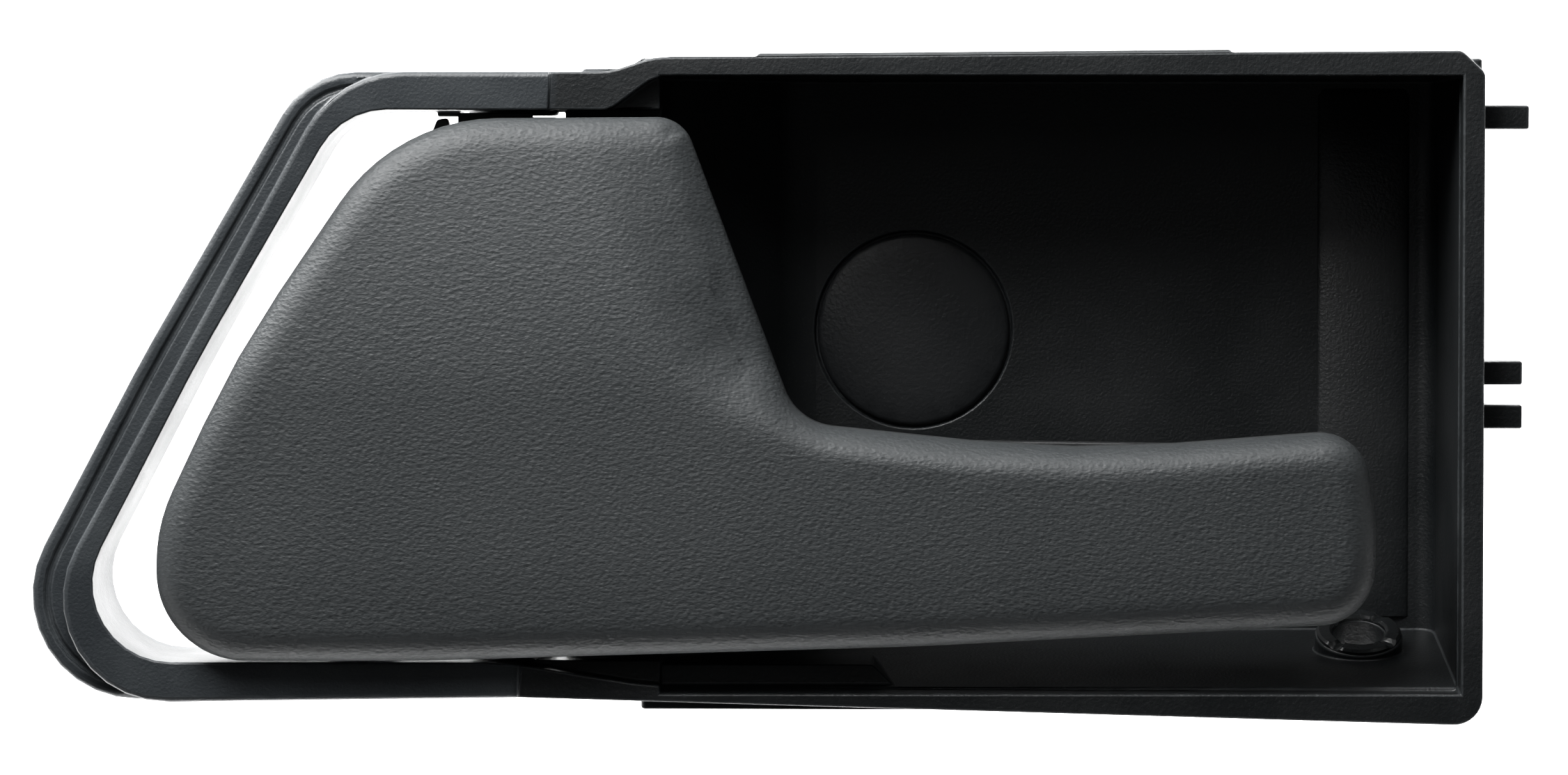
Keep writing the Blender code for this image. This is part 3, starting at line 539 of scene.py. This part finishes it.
def grip_surface():
    """Dark grey moulding with a fine leather grain and slight wear."""
    made = Surface("grip_grain", roughness=0.5, specular=0.45)
    patches = made.noise(35, detail=4)
    base = made.mix(made.spread(patches, 0.35, 0.65, 0, 1), (0.028, 0.032, 0.034), (0.036, 0.040, 0.042))
    speckle = made.spread(made.noise(2600, detail=2), 0.35, 0.75, 0, 0.35)
    base = made.mix(speckle, base, (0.062, 0.066, 0.067))
    made.colour(made.rubbed_ridges(base, (0.075, 0.08, 0.082), 0.5))
    pits = made.cells(2300)
    streaks = made.noise(1500, detail=2, stretch=(1.0, 1.0, 2.4))
    grain = made.math("ADD", made.math("MULTIPLY", pits, 0.55), made.math("MULTIPLY", streaks, 0.8))
    made.bump(grain, 0.1)
    made.roughness(made.spread(grain, 0.3, 0.9, 0.62, 0.46))
    return made.material


def housing_surface():
    """Black moulding with faint dust and a fine texture all over: greyer left of a slanting line, darker
    right of it over the bowl.
    """
    made = Surface("housing_moulding", roughness=0.42, specular=0.5)
    split = made.node("ShaderNodeSeparateXYZ")
    made.tree.links.new(made.place, split.inputs["Vector"])
    dark_line_shift = made.math("MULTIPLY", split.outputs["Z"], DARK_LINE_SLOPE)
    past_dark_line = made.math("SUBTRACT", made.math("SUBTRACT", split.outputs["X"], dark_line_shift), DARK_LINE_X * MM)
    # Right of the line, bowl included, the colour drops to about a third of the ring's; roughness and texture
    # stay the same.
    on_bowl = made.spread(past_dark_line, -0.4 * MM, 0.4 * MM, 0, 1)
    smudges = made.noise(60, detail=5, roughness=0.6)
    cloud = made.spread(smudges, 0.4, 0.7, 0, 1)
    ring = made.mix(cloud, (0.021, 0.025, 0.0285), (0.035, 0.041, 0.045))
    bowl = made.mix(cloud, (0.007, 0.0085, 0.0093), (0.011, 0.0125, 0.0135))
    dust = made.spread(made.noise(3200, detail=1), 0.62, 0.8, 0, 0.35)
    base = made.mix(dust, made.mix(on_bowl, ring, bowl), (0.045, 0.05, 0.053))
    made.colour(made.worn_edges(base, (0.06, 0.066, 0.07), 0.6))
    made.bump(made.noise(3000, detail=2), 0.05)
    made.roughness(made.spread(smudges, 0.3, 0.7, 0.36, 0.5))
    return made.material


def cap_surface():
    """Black moulding of the cover cap, a little lighter than the bowl behind it."""
    made = Surface("cap_moulding", roughness=0.45, specular=0.5)
    cloud = made.noise(90, detail=4)
    made.colour(made.mix(made.spread(cloud, 0.3, 0.7, 0, 1), (0.014, 0.0155, 0.017), (0.02, 0.0215, 0.023)))
    made.bump(made.noise(2400, detail=2), 0.05)
    made.roughness(made.spread(cloud, 0.3, 0.7, 0.4, 0.52))
    return made.material


def plain_plastic(name, colour, roughness):
    """A small moulding: faint cloudiness and a fine tool texture."""
    made = Surface(name, roughness)
    cloud = made.noise(150, detail=3)
    darker = tuple(channel * 0.8 for channel in colour)
    worn = tuple(min(1, channel * 1.6 + 0.01) for channel in colour)
    made.colour(made.worn_edges(made.mix(cloud, darker, colour), worn, 0.4))
    made.bump(made.noise(2800, detail=2), 0.03)
    made.roughness(made.spread(cloud, 0.3, 0.7, roughness - 0.06, roughness + 0.06))
    return made.material


def metal(name, colour, roughness):
    """Plated or spring steel with drawn streaks round it and a little tarnish."""
    made = Surface(name, roughness, metallic=1.0)
    tarnish = made.noise(220, detail=5)
    darker = tuple(channel * 0.62 for channel in colour)
    made.colour(made.mix(made.spread(tarnish, 0.42, 0.7, 0, 1), colour, darker))
    made.bump(made.noise(900, detail=3, stretch=(1.0, 1.0, 12.0)), 0.02)
    made.roughness(made.spread(tarnish, 0.3, 0.7, roughness - 0.08, roughness + 0.12))
    return made.material


def rubber(name):
    """Dull black rubber with a faint bloom."""
    made = Surface(name, 0.8, specular=0.3)
    bloom = made.noise(400, detail=4)
    made.colour(made.mix(bloom, (0.012, 0.012, 0.012), (0.03, 0.03, 0.029)))
    made.bump(made.noise(1800, detail=3), 0.04)
    made.roughness(made.spread(bloom, 0.3, 0.7, 0.72, 0.9))
    return made.material


def dress(names, surface):
    """Gives CAD nodes that stay in view their procedural material."""
    for name in names:
        mesh = nodes[name].data
        mesh.materials.clear()
        mesh.materials.append(surface)
        mesh.shade_smooth()
        mesh.set_sharp_from_angle(angle=math.radians(35))


# ---------------------------------------------------------------- stage

def backdrop():
    """A pale seamless sweep: floor, curve and wall in one sheet."""
    bm = bmesh.new()
    profile = [(FLOOR_FRONT, FLOOR_Z), (CURVE_START, FLOOR_Z)]
    steps = 12
    for step in range(1, steps + 1):
        angle = math.pi / 2 * step / steps
        y = CURVE_START + CURVE_R * math.sin(angle)
        profile.append((y, FLOOR_Z + CURVE_R - CURVE_R * math.cos(angle)))
    profile.append((CURVE_START + CURVE_R, WALL_TOP))
    sides = (-SWEEP_HALF_WIDTH, SWEEP_HALF_WIDTH)
    rows = [[bm.verts.new((x, y, z)) for y, z in profile] for x in sides]
    for index in range(len(profile) - 1):
        bm.faces.new((rows[0][index], rows[1][index], rows[1][index + 1], rows[0][index + 1]))
    bmesh.ops.scale(bm, vec=(MM, MM, MM), verts=bm.verts)
    mesh = bpy.data.meshes.new("backdrop")
    bm.to_mesh(mesh)
    bm.free()
    mesh.shade_smooth()
    made = Surface("backdrop_paper", roughness=0.9, specular=0.1)
    made.colour(made.mix(made.noise(8, detail=2), (0.93, 0.93, 0.93), (0.95, 0.95, 0.95)))
    mesh.materials.append(made.material)
    sweep = bpy.data.objects.new("backdrop", mesh)
    bpy.context.scene.collection.objects.link(sweep)


def softbox(name, place, target, width, height, power):
    """A white rectangular lamp that faces its target, in metres and watts."""
    lamp = bpy.data.lights.new(name, "AREA")
    lamp.shape = "RECTANGLE"
    lamp.size = width
    lamp.size_y = height
    lamp.energy = power
    obj = bpy.data.objects.new(name, lamp)
    obj.location = place
    obj.rotation_euler = (Vector(target) - Vector(place)).to_track_quat("-Z", "Y").to_euler()
    bpy.context.scene.collection.objects.link(obj)


def lights():
    """A soft key above the front, and lamps behind that keep the backdrop white."""
    softbox("key_softbox", (-0.15, -0.12, 0.23), (-0.03, 0, 0), 0.36, 0.14, 2.4)
    softbox("overhead_softbox", (0.03, -0.06, 0.45), (0, 0, 0), 0.6, 0.2, 1.3)
    softbox("front_fill", (-0.2, -0.75, 0.33), (0, 0, 0), 0.6, 0.3, 0.2)
    softbox("backdrop_lamp_left", (-0.7, 0.5, 0.9), (0, 1.2, 0.2), 0.6, 0.6, 35)
    softbox("backdrop_lamp_right", (0.7, 0.5, 0.9), (0, 1.2, 0.2), 0.6, 0.6, 35)
    world = bpy.data.worlds.new("studio")
    world.use_nodes = True
    world.node_tree.nodes["Background"].inputs["Color"].default_value = (0.94, 0.97, 1.0, 1)
    world.node_tree.nodes["Background"].inputs["Strength"].default_value = 0.04
    bpy.context.scene.world = world
    bpy.context.scene.view_settings.view_transform = "Standard"


def camera():
    """The camera, framed so that VIEW_WIDTH fills the picture at the handle's front."""
    data = bpy.data.cameras.new("camera")
    place = Vector(CAMERA_PLACE) * MM
    towards = Vector(CAMERA_TARGET) * MM - place
    data.sensor_width = SENSOR
    data.lens = SENSOR * towards.length / (VIEW_WIDTH * MM)
    data.clip_start = 0.01
    data.clip_end = 20
    obj = bpy.data.objects.new("camera", data)
    obj.location = place
    obj.rotation_euler = towards.to_track_quat("-Z", "Y").to_euler()
    bpy.context.scene.collection.objects.link(obj)
    bpy.context.scene.camera = obj


# ---------------------------------------------------------------- the handle

def handle():
    """Every visible piece of the handle with its material."""
    housing = housing_surface()
    steel = metal("zinc_plate", (0.62, 0.61, 0.57), 0.34)
    spring_steel = metal("spring_steel", (0.32, 0.32, 0.33), 0.3)
    carrier = plain_plastic("carrier_moulding", (0.016, 0.017, 0.018), 0.48)
    clip = plain_plastic("clip_moulding", (0.05, 0.19, 0.085), 0.42)
    eased_copy("housing", "housing_body", housing, 0.25)
    fixing_rim(plain_plastic("polished_pad", (0.014, 0.016, 0.017), 0.3))
    screw_column(housing)
    eased_copy("cover_cap", "housing_body", cap_surface(), 0.2)
    eased_copy("lever_carrier", "lever", carrier, 0.2)
    eased_copy("rod_clip", "clip", clip, 0.15)
    lever_skin(grip_surface())
    hinge_ears(carrier)
    return_spring(spring_steel)
    dress(["upper_bush", "lower_bush"], plain_plastic("acetal", (0.62, 0.6, 0.55), 0.38))
    dress(["rest_buffer_upper", "rest_buffer_lower", "travel_buffer"], rubber("buffer_rubber"))
    dress(["pivot_pin", "grip_screw_1", "grip_screw_2", "grip_screw_3"], steel)
    dress(["pin_retainer"], spring_steel)
    for name in ("upper_bush", "lower_bush", "pivot_pin", "grip_screw_1", "grip_screw_2", "grip_screw_3"):
        ease(name, 0.08)


backdrop()
lights()
camera()
handle()
